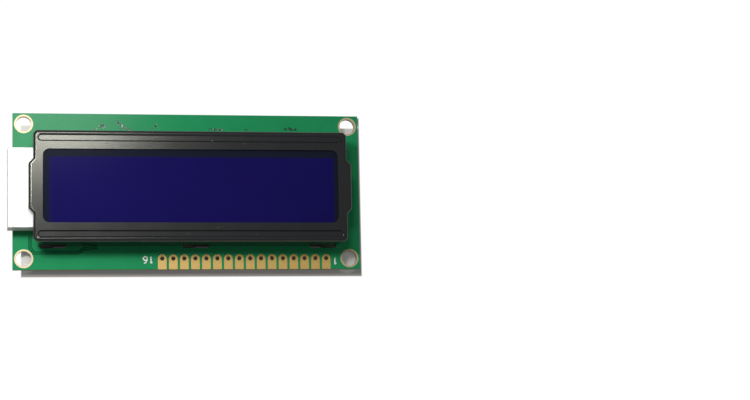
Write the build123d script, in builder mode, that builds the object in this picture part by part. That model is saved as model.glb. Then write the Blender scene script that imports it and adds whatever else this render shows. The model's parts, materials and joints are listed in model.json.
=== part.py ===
"""A 16-by-2 character display module, lying on its back with the glass upwards.

Millimetres, Z along the viewing direction towards the reader. The origin is the centre of
the four mounting holes, on the front face of the circuit board. The header row is on the
-Y edge, with pad 1 at the +X end, and the backlight leads are at the -X end.
"""
import os
from math import radians, tan

from build123d import *

os.makedirs("parts", exist_ok=True)

# Circuit board
board_length = 80.0
board_width = 36.0
board_thickness = 1.6
mount_hole_inset = 2.5
mount_hole_diameter = 3.5
mount_ring_width = 0.4
foil_thickness = 0.05
plating_thickness = 0.05
small_round_sides = 12

# Header row, pad 1 first
header_count = 16
header_pitch = 2.54
header_pad_width = 2.0
header_hole_diameter = 1.0
header_hole_inset = 2.5
header_first_inset = 8.0

# Bezel, one folded sheet held by twisted tabs
bezel_end_inset = 4.4
bezel_side_inset = 5.4
sheet_thickness = 0.5
bend_radius = 0.65
bezel_corner_cut = 0.7
corner_relief = 1.2
window_end_inset = 2.1
window_side_inset = 4.25
window_radius = 1.5
lobe_reach = 1.05
lobe_flat = 10.2
lobe_base = 12.5
bead_width = 1.7
bead_depth = 0.35
bead_flare = 0.2
bead_taper = 42
bead_edge_inset = 1.7
bead_end_inset = 0.9
skirt_clearance = 0.3
tab_width = 5.7
tab_reach = 1.6
tab_centre_shares = (-0.434, 0.024, 0.44)
lower_tab_twists = (33, 33, -33)
upper_tab_twists = (-33, -52, 33)
twist_sections = 2
slot_width = 1.4
slot_end_clearance = 0.15
ground_land_width = 2.0

# Display cell
glass_thickness = 1.1
polarizer_thickness = 0.2
seal_thickness = 0.1
seal_width = 1.2
seal_inset = 0.6
glass_side_clearance = 0.1
glass_end_clearance = 0.6
contact_ledge = 2.8
polarizer_overlap = 0.6
fill_port_width = 3.0
plug_width = 5.0
plug_reach = 0.7
plug_height = 1.5

# Contact strips between the board and the glass ledges
strip_width = 2.0
strip_end_inset = 1.5
strip_glass_clearance = 0.3
contact_count = 20
contact_share = 0.6

# Edge-lit backlight
slab_height = 6.5
slab_overhang = 1.2
slab_end_clearance = 0.6
slab_side_clearance = 0.1
housing_wall = 0.8
housing_floor = 0.8
housing_roof = 0.6
housing_edge_radius = 0.25
roof_cover = 1.0
reflector_thickness = 0.2
diffuser_thickness = 0.25
film_clearance = 0.15
carrier_thickness = 0.8
carrier_clearance = 0.15
chip_count = 3
chip_thickness = 0.8
chip_height = 1.6
chip_width_share = 0.75
guide_clearance = 0.2
lead_thickness = 0.5
lead_width = 0.7
lead_rise = 2.6
lead_tail = 0.7
lead_clearance = 0.15
lead_place_share = 0.36
backlight_pad_length = 1.6
backlight_pad_width = 2.1
backlight_pad_pitch = 2.66
backlight_hole_diameter = 1.0
lead_solder_height = 0.55
lead_solder_inset = 0.15
lead_solder_tip_length = 1.0

# Parts on the back of the board: shares of the board's length and of the field's width
resistor_shares = (
    (0.4375, 0.2513),
    (0.4375, 0.4145),
    (0.4375, 0.1119),
    (0.4375, -0.0363),
    (0.4375, -0.1606),
    (0.4375, -0.3057),
    (0.279, -0.2746),
)
capacitor_shares = ((0.0294, -0.2073), (-0.25, -0.5078))
spare_upright_share = (-0.46, 0.026)
spare_level_share = (-0.397, -0.0653)
spare_chip_share = (-0.395, -0.3005)
driver_blob_share = (-0.2456, -0.0363)
controller_blob_share = (0.1744, 0.0238)
field_jumper_share = (-0.315, -0.344)

# Parts in the corner beside pad 16: shares of the corner's length and of the board's width
corner_resistor_share = (0.4705, -0.394)
corner_jumper_share = (0.774, -0.44)
open_jumper_share = (0.6549, -0.3944)
spare_resistor_share = -0.3286
spare_resistor_clearance = 1.95

resistor_length = 2.0
resistor_width = 1.25
resistor_height = 0.5
resistor_land = 1.6
resistor_land_pitch = 2.3
capacitor_length = 1.6
capacitor_width = 0.8
capacitor_height = 0.8
capacitor_land_length = 0.9
capacitor_land_width = 1.0
capacitor_land_pitch = 1.6
end_cap_length = 0.4
end_cap_thickness = 0.06
fillet_reach = 0.45
fillet_rise_share = 0.7
spare_land_length = 2.0
spare_land_width = 1.4
spare_land_pitch = 2.85
chip_land_length = 1.6
chip_land_width = 0.7
chip_land_pitch = 1.27
chip_land_rows = 5.6
chip_land_count = 4
jumper_diameter = 1.7
jumper_gap = 0.3
jumper_angle = 45
jumper_bead_diameter = 1.5
jumper_bead_height = 0.5
jumper_bead_foot = 0.3
jumper_bead_taper = 20
jumper_bead_crown_taper = 55
driver_blob_diameter = 11.4
controller_blob_diameter = 11.5
blob_height = 1.15
blob_crown_height = 1.08
blob_crown_share = 0.55
blob_shoulder_height = 0.9
blob_shoulder_inset = 0.6
blob_rim_height = 0.5
blob_rim_inset = 0.13

# Levels, worked out upwards and downwards from the front face of the board
board_front = 0
board_back = board_front - board_thickness
front_foil = board_front + foil_thickness
back_foil = board_back - foil_thickness
slab_bottom = front_foil
slab_top = slab_bottom + slab_height
rear_glass_bottom = slab_top + polarizer_thickness
rear_glass_top = rear_glass_bottom + glass_thickness
front_glass_bottom = rear_glass_top + seal_thickness
front_glass_top = front_glass_bottom + glass_thickness
bezel_inside = front_glass_top + bead_depth
bezel_front = bezel_inside + sheet_thickness
skirt_bottom = slab_top + skirt_clearance

# Places in plan
mount_spacing_x = board_length - 2 * mount_hole_inset
mount_spacing_y = board_width - 2 * mount_hole_inset
bezel_length = board_length - 2 * bezel_end_inset
bezel_width = board_width - 2 * bezel_side_inset
half_length = bezel_length / 2
half_width = bezel_width / 2
window_length = bezel_length - 2 * window_end_inset
window_width = bezel_width - 2 * window_side_inset
inside_length = bezel_length - 2 * sheet_thickness
inside_width = bezel_width - 2 * sheet_thickness
rear_glass_width = inside_width - 2 * glass_side_clearance - 2 * contact_ledge
slab_width = rear_glass_width - 2 * slab_side_clearance
header_last = (header_count - 1) * header_pitch
header_x = board_length / 2 - header_first_inset - header_last / 2
header_y = header_hole_inset - board_width / 2
tab_y = half_width - sheet_thickness / 2
slot_length = tab_width + 2 * slot_end_clearance
ground_land_y = tab_y - slot_width / 2 - ground_land_width / 2
tab_columns = [share * bezel_length for share in tab_centre_shares]
lower_tabs = [(x, -tab_y) for x in tab_columns]
upper_tabs = [(x, tab_y) for x in tab_columns]
tab_twists = lower_tab_twists + upper_tab_twists
pad_column = backlight_pad_length / 2 - board_length / 2
lead_y = lead_place_share * slab_width
spare_lead_y = lead_y - backlight_pad_pitch
backlight_places = [(pad_column, y) for y in (-lead_y, -spare_lead_y, spare_lead_y, lead_y)]
field_width = 2 * ground_land_y - ground_land_width
corner_length = header_x - header_last / 2 + board_length / 2
spare_resistor_end = tab_columns[0] + slot_length / 2 + spare_resistor_clearance
spare_resistor_x = spare_resistor_end + (resistor_land_pitch + resistor_land) / 2
spare_resistor_place = (spare_resistor_x, spare_resistor_share * board_width)


def in_field(share):
    """Place between the ground lands of a pair of shares of board length and field width."""
    return share[0] * board_length, share[1] * field_width


def in_corner(share):
    """Place beside pad 16 of a pair of shares of corner length and board width."""
    return share[0] * corner_length - board_length / 2, share[1] * board_width


resistor_places = [in_field(share) for share in resistor_shares]
resistor_places += [in_corner(corner_resistor_share)]
capacitor_places = [in_field(share) for share in capacitor_shares]
closed_jumper_places = [in_corner(corner_jumper_share), in_field(field_jumper_share)]
jumper_places = closed_jumper_places + [in_corner(open_jumper_share)]


def finish(part, name):
    """Label a finished sub-part and write it under its own name."""
    part.label = name
    export_step(part, f"parts/{name}.step")


# Circuit board, drilled and slotted; its small holes have few sides, as the foil in them has
mount_drill_radius = mount_hole_diameter / 2 + plating_thickness
header_drill_radius = header_hole_diameter / 2 + plating_thickness
backlight_drill_radius = backlight_hole_diameter / 2 + plating_thickness
with BuildPart() as circuit_board:
    with BuildSketch(Plane.XY.offset(board_back)):
        Rectangle(board_length, board_width)
        with GridLocations(mount_spacing_x, mount_spacing_y, 2, 2):
            Circle(mount_drill_radius, mode=Mode.SUBTRACT)
        with Locations((header_x, header_y)):
            with GridLocations(header_pitch, header_pitch, header_count, 1):
                RegularPolygon(header_drill_radius, small_round_sides, mode=Mode.SUBTRACT)
        with Locations(*backlight_places):
            RegularPolygon(backlight_drill_radius, small_round_sides, mode=Mode.SUBTRACT)
        with Locations(*lower_tabs, *upper_tabs):
            Rectangle(slot_length, slot_width, mode=Mode.SUBTRACT)
    extrude(amount=board_thickness)
finish(circuit_board.part, "circuit_board")

# Plated rings round the mounting holes, with a land on each face
with BuildPart() as mounting_rings:
    for level, foil in ((board_front, foil_thickness), (board_back, -foil_thickness)):
        with BuildSketch(Plane.XY.offset(level)):
            with GridLocations(mount_spacing_x, mount_spacing_y, 2, 2):
                Circle(mount_hole_diameter / 2 + mount_ring_width)
        extrude(amount=foil)
    with BuildSketch(Plane.XY.offset(board_back)):
        with GridLocations(mount_spacing_x, mount_spacing_y, 2, 2):
            Circle(mount_drill_radius)
    extrude(amount=board_thickness)
    with BuildSketch(Plane.XY.offset(back_foil)):
        with GridLocations(mount_spacing_x, mount_spacing_y, 2, 2):
            Circle(mount_hole_diameter / 2)
    extrude(amount=front_foil - back_foil, mode=Mode.SUBTRACT)
finish(mounting_rings.part, "mounting_rings")

# Header pads: a long land on each face, round at its inner end, joined by a plated barrel
with BuildPart() as header_pads:
    for level, foil in ((board_front, foil_thickness), (board_back, -foil_thickness)):
        with BuildSketch(Plane.XY.offset(level)):
            with Locations((header_x, header_y)):
                with GridLocations(header_pitch, header_pitch, header_count, 1):
                    RegularPolygon(header_pad_width / 2, small_round_sides)
                    Rectangle(header_pad_width, header_hole_inset, align=(Align.CENTER, Align.MAX))
        extrude(amount=foil)
    with BuildSketch(Plane.XY.offset(board_back)):
        with Locations((header_x, header_y)):
            with GridLocations(header_pitch, header_pitch, header_count, 1):
                RegularPolygon(header_drill_radius, small_round_sides)
    extrude(amount=board_thickness)
    with BuildSketch(Plane.XY.offset(back_foil)):
        with Locations((header_x, header_y)):
            with GridLocations(header_pitch, header_pitch, header_count, 1):
                RegularPolygon(header_hole_diameter / 2, small_round_sides)
    extrude(amount=front_foil - back_foil, mode=Mode.SUBTRACT)
finish(header_pads.part, "header_pads")

# Backlight pads at the short edge, two for each polarity
with BuildPart() as backlight_pads:
    for level, foil in ((board_front, foil_thickness), (board_back, -foil_thickness)):
        with BuildSketch(Plane.XY.offset(level)):
            with Locations(*backlight_places):
                Rectangle(backlight_pad_length, backlight_pad_width)
        extrude(amount=foil)
    with BuildSketch(Plane.XY.offset(board_back)):
        with Locations(*backlight_places):
            RegularPolygon(backlight_drill_radius, small_round_sides)
    extrude(amount=board_thickness)
    with BuildSketch(Plane.XY.offset(back_foil)):
        with Locations(*backlight_places):
            RegularPolygon(backlight_hole_diameter / 2, small_round_sides)
    extrude(amount=front_foil - back_foil, mode=Mode.SUBTRACT)
finish(backlight_pads.part, "backlight_pads")

# Ground lands beside the slots, where a tab can be soldered
with BuildPart() as ground_lands:
    with BuildSketch(Plane.XY.offset(board_back)):
        with Locations(*[(x, side * ground_land_y) for side in (-1, 1) for x in tab_columns]):
            Rectangle(slot_length, ground_land_width)
    extrude(amount=-foil_thickness)
finish(ground_lands.part, "ground_lands")

# Contact lands under the two elastomer strips
strip_length = inside_length - 2 * strip_end_inset
strip_y = rear_glass_width / 2 + strip_glass_clearance + strip_width / 2
contact_pitch = strip_length / (contact_count + 1)
with BuildPart() as contact_lands:
    with BuildSketch(Plane.XY.offset(board_front)):
        with GridLocations(contact_pitch, 2 * strip_y, contact_count, 2):
            Rectangle(contact_pitch * contact_share, strip_width)
    extrude(amount=foil_thickness)
finish(contact_lands.part, "contact_lands")

# Soldering lands of the small parts, fitted and left empty
with BuildPart() as component_lands:
    with BuildSketch(Plane.XY.offset(board_back)):
        with Locations(*resistor_places, spare_resistor_place):
            with GridLocations(resistor_land_pitch, resistor_land, 2, 1):
                Rectangle(resistor_land, resistor_land)
        with Locations(*capacitor_places):
            with GridLocations(capacitor_land_pitch, capacitor_land_width, 2, 1):
                Rectangle(capacitor_land_length, capacitor_land_width)
        with Locations(in_field(spare_upright_share)):
            with GridLocations(spare_land_width, spare_land_pitch, 1, 2):
                Rectangle(spare_land_width, spare_land_length)
        with Locations(in_field(spare_level_share)):
            with GridLocations(spare_land_pitch, spare_land_width, 2, 1):
                Rectangle(spare_land_length, spare_land_width)
        with Locations(in_field(spare_chip_share)):
            with GridLocations(chip_land_rows, chip_land_pitch, 2, chip_land_count):
                Rectangle(chip_land_length, chip_land_width)
    extrude(amount=-foil_thickness)
finish(component_lands.part, "component_lands")

# Jumper lands, each a disc split across
with BuildPart() as jumper_lands:
    with BuildSketch(Plane.XY.offset(board_back)):
        with Locations(*jumper_places):
            RegularPolygon(jumper_diameter / 2, small_round_sides)
            Rectangle(jumper_gap, 2 * jumper_diameter, rotation=jumper_angle, mode=Mode.SUBTRACT)
    extrude(amount=-foil_thickness)
finish(jumper_lands.part, "jumper_lands")

# Solder beads that close two of the jumpers, each a steep foot under a flatter crown
bead_crown_radius = jumper_bead_diameter / 2 - jumper_bead_foot * tan(radians(jumper_bead_taper))
with BuildPart() as jumper_solder:
    with BuildSketch(Plane.XY.offset(back_foil)):
        with Locations(*closed_jumper_places):
            RegularPolygon(jumper_bead_diameter / 2, small_round_sides)
    extrude(amount=-jumper_bead_foot, taper=jumper_bead_taper)
    with BuildSketch(Plane.XY.offset(back_foil - jumper_bead_foot)):
        with Locations(*closed_jumper_places):
            RegularPolygon(bead_crown_radius, small_round_sides)
    extrude(amount=jumper_bead_foot - jumper_bead_height, taper=jumper_bead_crown_taper)
finish(jumper_solder.part, "jumper_solder")


def twisted_tab(place, twist):
    """Solid of a tab behind the board, turned evenly down to its tip, in flat facets."""
    rings = []
    for section in range(twist_sections + 1):
        turned = section / twist_sections
        level = Plane(origin=(*place, board_back - tab_reach * turned))
        level = level.rotated((0, 0, twist * turned))
        corners = [(x * tab_width / 2, y * sheet_thickness / 2, 0) for x, y in tab_corners]
        rings.append([level.from_local_coords(corner) for corner in corners])
    facets = [rings[0], rings[-1]]
    for upper, lower in zip(rings, rings[1:]):
        sides = zip(upper, upper[1:] + upper[:1], lower, lower[1:] + lower[:1])
        for index, (here, after, below, below_after) in enumerate(sides):
            if index % 3 == 2:
                facets += [(here, after, below), (after, below_after, below)]
            else:
                facets += [(here, after, below_after), (here, below_after, below)]
    return Solid(Shell([Face(Wire.make_polygon(facet)) for facet in facets]))


# Bezel: a pressed pan with end lobes, corner reliefs, window, beads and twisted tabs
outline = [
    (half_length - bezel_corner_cut, -half_width),
    (half_length, bezel_corner_cut - half_width),
    (half_length, -lobe_base / 2),
    (half_length + lobe_reach, -lobe_flat / 2),
    (half_length + lobe_reach, lobe_flat / 2),
    (half_length, lobe_base / 2),
    (half_length, half_width - bezel_corner_cut),
    (half_length - bezel_corner_cut, half_width),
]
outline += [(-x, -y) for x, y in outline]
tab_corners = ((0, -1), (1, -1), (1, 1), (0, 1), (-1, 1), (-1, -1))
bead_length = bezel_length - 2 * bead_end_inset
bead_row = 2 * (half_width - bead_edge_inset)
relief_height = bezel_front - bend_radius
with BuildPart() as bezel:
    with BuildSketch(Plane.XY.offset(board_front)) as pan:
        with BuildLine():
            Polyline(*outline, close=True)
        make_face()
    extrude(amount=bezel_front - board_front)
    fillet(bezel.faces().sort_by(Axis.Z)[-1].edges(), bend_radius)
    with BuildSketch(Plane.XY.offset(board_front)):
        add(pan.sketch.face())
        offset(amount=-sheet_thickness, kind=Kind.INTERSECTION, mode=Mode.REPLACE)
    extrude(amount=bezel_inside - board_front, mode=Mode.SUBTRACT)
    with BuildSketch(Plane.XY.offset(board_front)):
        with GridLocations(bezel_length + 2 * lobe_reach, board_width, 2, 1):
            Rectangle(2 * (corner_relief + lobe_reach), board_width)
    extrude(amount=skirt_bottom - board_front, mode=Mode.SUBTRACT)
    with BuildSketch(Plane.XY.offset(skirt_bottom)):
        with GridLocations(bezel_length, bezel_width, 2, 2):
            Rectangle(2 * corner_relief, 2 * corner_relief)
    extrude(amount=relief_height - skirt_bottom, mode=Mode.SUBTRACT)
    with BuildSketch(Plane.XY.offset(bezel_inside)):
        with GridLocations(bead_length - bead_width, bead_row, 2, 2):
            RegularPolygon(bead_width / 2 + bead_flare, small_round_sides)
        with GridLocations(bead_length, bead_row, 1, 2):
            Rectangle(bead_length - bead_width, bead_width + 2 * bead_flare)
    extrude(amount=-bead_depth, taper=bead_taper)
    with BuildSketch(Plane.XY.offset(bezel_front)):
        with GridLocations(bead_length - bead_width, bead_row, 2, 2):
            RegularPolygon(bead_width / 2, small_round_sides)
        with GridLocations(bead_length, bead_row, 1, 2):
            Rectangle(bead_length - bead_width, bead_width)
    extrude(amount=-bead_depth, taper=bead_taper, mode=Mode.SUBTRACT)
    with BuildSketch(Plane.XY.offset(bezel_front)):
        RectangleRounded(window_length, window_width, window_radius)
    extrude(amount=-sheet_thickness, mode=Mode.SUBTRACT)
    with BuildSketch(Plane.XY.offset(board_back)):
        with Locations(*lower_tabs, *upper_tabs):
            Rectangle(tab_width, sheet_thickness)
    extrude(amount=board_front - board_back)
    for place, twist in zip(lower_tabs + upper_tabs, tab_twists):
        add(twisted_tab(place, twist))
finish(bezel.part, "bezel")

# Display cell, from the front to the back
glass_length = inside_length - 2 * glass_end_clearance
glass_width = inside_width - 2 * glass_side_clearance
polarizer_length = window_length + 2 * polarizer_overlap
polarizer_width = window_width + 2 * polarizer_overlap
with BuildPart() as front_polarizer:
    with BuildSketch(Plane.XY.offset(front_glass_top)):
        Rectangle(polarizer_length, polarizer_width)
    extrude(amount=polarizer_thickness)
finish(front_polarizer.part, "front_polarizer")

with BuildPart() as front_glass:
    with BuildSketch(Plane.XY.offset(front_glass_bottom)):
        Rectangle(glass_length, glass_width)
    extrude(amount=glass_thickness)
finish(front_glass.part, "front_glass")

seal_length = glass_length - 2 * seal_inset
seal_across = rear_glass_width - 2 * seal_inset
with BuildPart() as cell_seal:
    with BuildSketch(Plane.XY.offset(rear_glass_top)):
        Rectangle(seal_length, seal_across)
        Rectangle(seal_length - 2 * seal_width, seal_across - 2 * seal_width, mode=Mode.SUBTRACT)
        with Locations((seal_length / 2, 0)):
            Rectangle(2 * seal_width, fill_port_width, mode=Mode.SUBTRACT)
    extrude(amount=seal_thickness)
finish(cell_seal.part, "cell_seal")

with BuildPart() as liquid_crystal:
    with BuildSketch(Plane.XY.offset(rear_glass_top)):
        Rectangle(seal_length - 2 * seal_width, seal_across - 2 * seal_width)
    extrude(amount=seal_thickness)
finish(liquid_crystal.part, "liquid_crystal")

with BuildPart() as rear_glass:
    with BuildSketch(Plane.XY.offset(rear_glass_bottom)):
        Rectangle(glass_length, rear_glass_width)
    extrude(amount=glass_thickness)
finish(rear_glass.part, "rear_glass")

with BuildPart() as rear_polarizer:
    with BuildSketch(Plane.XY.offset(slab_top)):
        Rectangle(polarizer_length, polarizer_width)
    extrude(amount=polarizer_thickness)
finish(rear_polarizer.part, "rear_polarizer")

# Resin plug over the fill port, in the end lobe of the bezel
plug_level = rear_glass_top + (seal_thickness - plug_height) / 2
with BuildPart() as fill_port_plug:
    with BuildSketch(Plane.XY.offset(plug_level)):
        with BuildLine():
            ThreePointArc(
                (glass_length / 2, -plug_width / 2),
                (glass_length / 2 + plug_reach, 0),
                (glass_length / 2, plug_width / 2),
            )
            Line((glass_length / 2, plug_width / 2), (glass_length / 2, -plug_width / 2))
        make_face()
    extrude(amount=plug_height)
finish(fill_port_plug.part, "fill_port_plug")

# Elastomer contact strips, one for each long edge
for name, side in (("zebra_strip_lower", -1), ("zebra_strip_upper", 1)):
    with BuildPart() as zebra_strip:
        with BuildSketch(Plane.XY.offset(front_foil)):
            with Locations((0, side * strip_y)):
                Rectangle(strip_length, strip_width)
        extrude(amount=front_glass_bottom - front_foil)
    finish(zebra_strip.part, name)

# Backlight housing: an open tray with a roofed chamber for the light source
slab_left = -board_length / 2 - slab_overhang
slab_right = inside_length / 2 - slab_end_clearance
slab_length = slab_right - slab_left
pocket_left = -half_length + roof_cover
pocket_right = slab_right - housing_wall
pocket_width = slab_width - 2 * housing_wall
chamber_left = slab_left + housing_wall
floor_top = slab_bottom + housing_floor
roof_bottom = slab_top - housing_roof
lead_places = [backlight_places[0], backlight_places[-1]]
with BuildPart() as backlight_housing:
    with BuildSketch(Plane.XY.offset(slab_bottom)):
        with Locations((slab_left, 0)):
            Rectangle(slab_length, slab_width, align=(Align.MIN, Align.CENTER))
    extrude(amount=slab_height)
    fillet(backlight_housing.edges().group_by(Axis.Z)[-1], housing_edge_radius)
    with BuildSketch(Plane.XY.offset(floor_top)):
        with Locations((pocket_left, 0)):
            Rectangle(pocket_right - pocket_left, pocket_width, align=(Align.MIN, Align.CENTER))
    extrude(amount=slab_top - floor_top, mode=Mode.SUBTRACT)
    with BuildSketch(Plane.XY.offset(floor_top)):
        with Locations((chamber_left, 0)):
            Rectangle(pocket_right - chamber_left, pocket_width, align=(Align.MIN, Align.CENTER))
    extrude(amount=roof_bottom - floor_top, mode=Mode.SUBTRACT)
    with BuildSketch(Plane.XY.offset(slab_bottom)):
        with Locations(*lead_places):
            Rectangle(lead_thickness + 2 * lead_clearance, lead_width + 2 * lead_clearance)
    extrude(amount=housing_floor, mode=Mode.SUBTRACT)
finish(backlight_housing.part, "backlight_housing")

# Light source at the short end: carrier board and emitters
carrier_face = pad_column - lead_thickness / 2
chip_face = carrier_face + chip_thickness
guide_left = chip_face + guide_clearance
guide_right = pocket_right - film_clearance
guide_width = pocket_width - 2 * film_clearance
guide_bottom = floor_top + reflector_thickness
carrier_height = roof_bottom - floor_top - carrier_clearance
with BuildPart() as led_carrier:
    with BuildSketch(Plane.XY.offset(floor_top)):
        with Locations((carrier_face, 0)):
            Rectangle(carrier_thickness, guide_width, align=(Align.MAX, Align.CENTER))
    extrude(amount=carrier_height)
finish(led_carrier.part, "led_carrier")

chip_room = 2 * lead_y - lead_width - 2 * lead_clearance
chip_pitch = chip_room / chip_count
chip_width = chip_width_share * chip_pitch
chip_level = floor_top + (carrier_height - chip_height) / 2
for number in range(chip_count):
    with BuildPart() as led_chip:
        with BuildSketch(Plane.XY.offset(chip_level)):
            with Locations((carrier_face, (number - (chip_count - 1) / 2) * chip_pitch)):
                Rectangle(chip_thickness, chip_width, align=(Align.MIN, Align.CENTER))
        extrude(amount=chip_height)
    finish(led_chip.part, f"led_chip_{number + 1}")

# Light guide, stepped down to pass under the housing's roof
guide_top = slab_top - diffuser_thickness
step_top = roof_bottom - film_clearance
step_x = pocket_left + film_clearance
with BuildPart() as light_guide:
    with BuildSketch(Plane.XZ.offset(-guide_width / 2)):
        with BuildLine():
            Polyline(
                (guide_left, guide_bottom),
                (guide_right, guide_bottom),
                (guide_right, guide_top),
                (step_x, guide_top),
                (step_x, step_top),
                (guide_left, step_top),
                close=True,
            )
        make_face()
    extrude(amount=guide_width)
finish(light_guide.part, "light_guide")

for name, left, level, thickness in (
    ("reflector_sheet", guide_left, floor_top, reflector_thickness),
    ("diffuser_sheet", step_x, guide_top, diffuser_thickness),
):
    with BuildPart() as film:
        with BuildSketch(Plane.XY.offset(level)):
            with Locations((left, 0)):
                Rectangle(guide_right - left, guide_width, align=(Align.MIN, Align.CENTER))
        extrude(amount=thickness)
    finish(film.part, name)

# Backlight leads, through the board into their pads, with a solder mound round each tail
lead_top = floor_top + lead_rise
lead_bottom = back_foil - lead_tail
solder_length = backlight_pad_length - 2 * lead_solder_inset
solder_width = backlight_pad_width - 2 * lead_solder_inset
for polarity, place in (("cathode", lead_places[0]), ("anode", lead_places[1])):
    with BuildPart() as backlight_lead:
        with BuildSketch(Plane.XY.offset(lead_bottom)):
            with Locations(place):
                Rectangle(lead_thickness, lead_width)
        extrude(amount=lead_top - lead_bottom)
    finish(backlight_lead.part, f"backlight_lead_{polarity}")
    with BuildPart() as lead_solder:
        with BuildSketch(Plane.XY.offset(back_foil)):
            with Locations(place):
                Rectangle(solder_length, solder_width)
        with BuildSketch(Plane.XY.offset(back_foil - lead_solder_height)):
            with Locations(place):
                Rectangle(lead_solder_tip_length, lead_solder_tip_length)
        loft()
        with BuildSketch(Plane.XY.offset(back_foil)):
            with Locations(place):
                Rectangle(lead_thickness, lead_width)
        extrude(amount=-lead_tail, mode=Mode.SUBTRACT)
    finish(lead_solder.part, f"lead_solder_{polarity}")

# Resin domes over the two bare chips
for name, share, diameter in (
    ("driver_blob", driver_blob_share, driver_blob_diameter),
    ("controller_blob", controller_blob_share, controller_blob_diameter),
):
    blob_place = in_field(share)
    with BuildPart() as blob:
        with BuildSketch(Plane(origin=(*blob_place, board_back), x_dir=(1, 0, 0), z_dir=(0, 1, 0))):
            with BuildLine():
                Polyline(
                    (0, 0),
                    (0, blob_height),
                    (diameter / 2 * blob_crown_share, blob_crown_height),
                    (diameter / 2 - blob_shoulder_inset, blob_shoulder_height),
                    (diameter / 2 - blob_rim_inset, blob_rim_height),
                    (diameter / 2, 0),
                    close=True,
                )
            make_face()
        revolve(axis=Axis((*blob_place, board_back), (0, 0, 1)))
    finish(blob.part, name)


def chip_pieces(kind, number, place, length, width, height):
    """Write the ceramic body and the two end caps of one small chip part."""
    core_height = height - 2 * end_cap_thickness
    with BuildPart() as core:
        with BuildSketch(Plane.XY.offset(back_foil - end_cap_thickness)):
            with Locations(place):
                Rectangle(length - 2 * end_cap_thickness, width)
        extrude(amount=-core_height)
    finish(core.part, f"{kind}_{number}")
    with BuildPart() as caps:
        with BuildSketch(Plane.XY.offset(back_foil)):
            with Locations(place):
                Rectangle(length, width)
                Rectangle(length - 2 * end_cap_length, width, mode=Mode.SUBTRACT)
        extrude(amount=-height)
        add(core.part, mode=Mode.SUBTRACT)
    finish(caps.part, f"{kind}_caps_{number}")


for number, place in enumerate(resistor_places, start=1):
    chip_pieces("resistor", number, place, resistor_length, resistor_width, resistor_height)
for number, place in enumerate(capacitor_places, start=1):
    chip_pieces("capacitor", number, place, capacitor_length, capacitor_width, capacitor_height)

# Solder wedges between each end cap and its land
wedges = [(place, resistor_length, resistor_width, resistor_height) for place in resistor_places]
wedges += [(place, capacitor_length, capacitor_width, capacitor_height) for place in capacitor_places]
with BuildPart() as component_solder:
    for (x, y), length, width, height in wedges:
        for side in (-1, 1):
            corner = Plane(
                origin=(x + side * length / 2, y, back_foil),
                x_dir=(side, 0, 0),
                z_dir=(0, side, 0),
            )
            with BuildSketch(corner):
                with BuildLine():
                    Polyline(
                        (0, 0),
                        (fillet_reach, 0),
                        (0, height * fillet_rise_share),
                        close=True,
                    )
                make_face()
            extrude(amount=width / 2, both=True)
finish(component_solder.part, "component_solder")
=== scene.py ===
"""Looks of a 16-by-2 character display module: board, bezel, blue window, backlight, small parts."""

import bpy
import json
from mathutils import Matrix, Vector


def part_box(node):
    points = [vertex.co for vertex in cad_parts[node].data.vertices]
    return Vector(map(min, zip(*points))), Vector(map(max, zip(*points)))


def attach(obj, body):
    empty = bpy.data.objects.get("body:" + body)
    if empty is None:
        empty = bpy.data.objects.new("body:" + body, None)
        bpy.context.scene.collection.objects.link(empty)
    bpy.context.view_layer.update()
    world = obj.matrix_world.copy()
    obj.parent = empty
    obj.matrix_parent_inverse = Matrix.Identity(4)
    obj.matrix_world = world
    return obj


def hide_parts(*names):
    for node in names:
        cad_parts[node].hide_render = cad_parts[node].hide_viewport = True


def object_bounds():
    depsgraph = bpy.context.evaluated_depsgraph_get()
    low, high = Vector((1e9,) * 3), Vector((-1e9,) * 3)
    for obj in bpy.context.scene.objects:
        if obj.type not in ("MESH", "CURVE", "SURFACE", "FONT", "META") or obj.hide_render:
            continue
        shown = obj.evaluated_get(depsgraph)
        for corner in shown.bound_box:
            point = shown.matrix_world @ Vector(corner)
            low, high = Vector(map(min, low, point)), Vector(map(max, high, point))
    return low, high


bl_info = {
    "name": "Character display module",
    "version": (1, 0, 0),
    "blender": (4, 5, 0),
    "location": "3D View > Sidebar > Display",
    "description": "Dresses the display module's solids and sets the stage",
    "category": "Object",
}

import json
import math

import bmesh
import bpy
from bpy.props import FloatProperty, FloatVectorProperty, IntProperty, PointerProperty
from mathutils import Matrix, Vector

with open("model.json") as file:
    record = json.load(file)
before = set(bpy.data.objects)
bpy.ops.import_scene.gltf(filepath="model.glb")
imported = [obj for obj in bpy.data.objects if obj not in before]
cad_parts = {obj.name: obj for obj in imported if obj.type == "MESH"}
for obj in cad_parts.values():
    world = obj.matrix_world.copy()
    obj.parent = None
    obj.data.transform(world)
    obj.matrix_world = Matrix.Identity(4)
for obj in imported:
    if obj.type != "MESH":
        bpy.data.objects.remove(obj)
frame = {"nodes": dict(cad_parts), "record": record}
cad_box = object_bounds()

# Metres in a millimetre; every other plain length is in millimetres
MM = 0.001
# Step between strips that would otherwise share a face
HAIR = 0.00005
# Vertices of a node's copy nearer than this are welded
WELD = 0.002

BOARD_LOW, BOARD_HIGH = (Vector(corner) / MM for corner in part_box("circuit_board"))
# Thickness of the copper foil
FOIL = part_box("header_pads")[1][2] / MM - BOARD_HIGH.z

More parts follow.
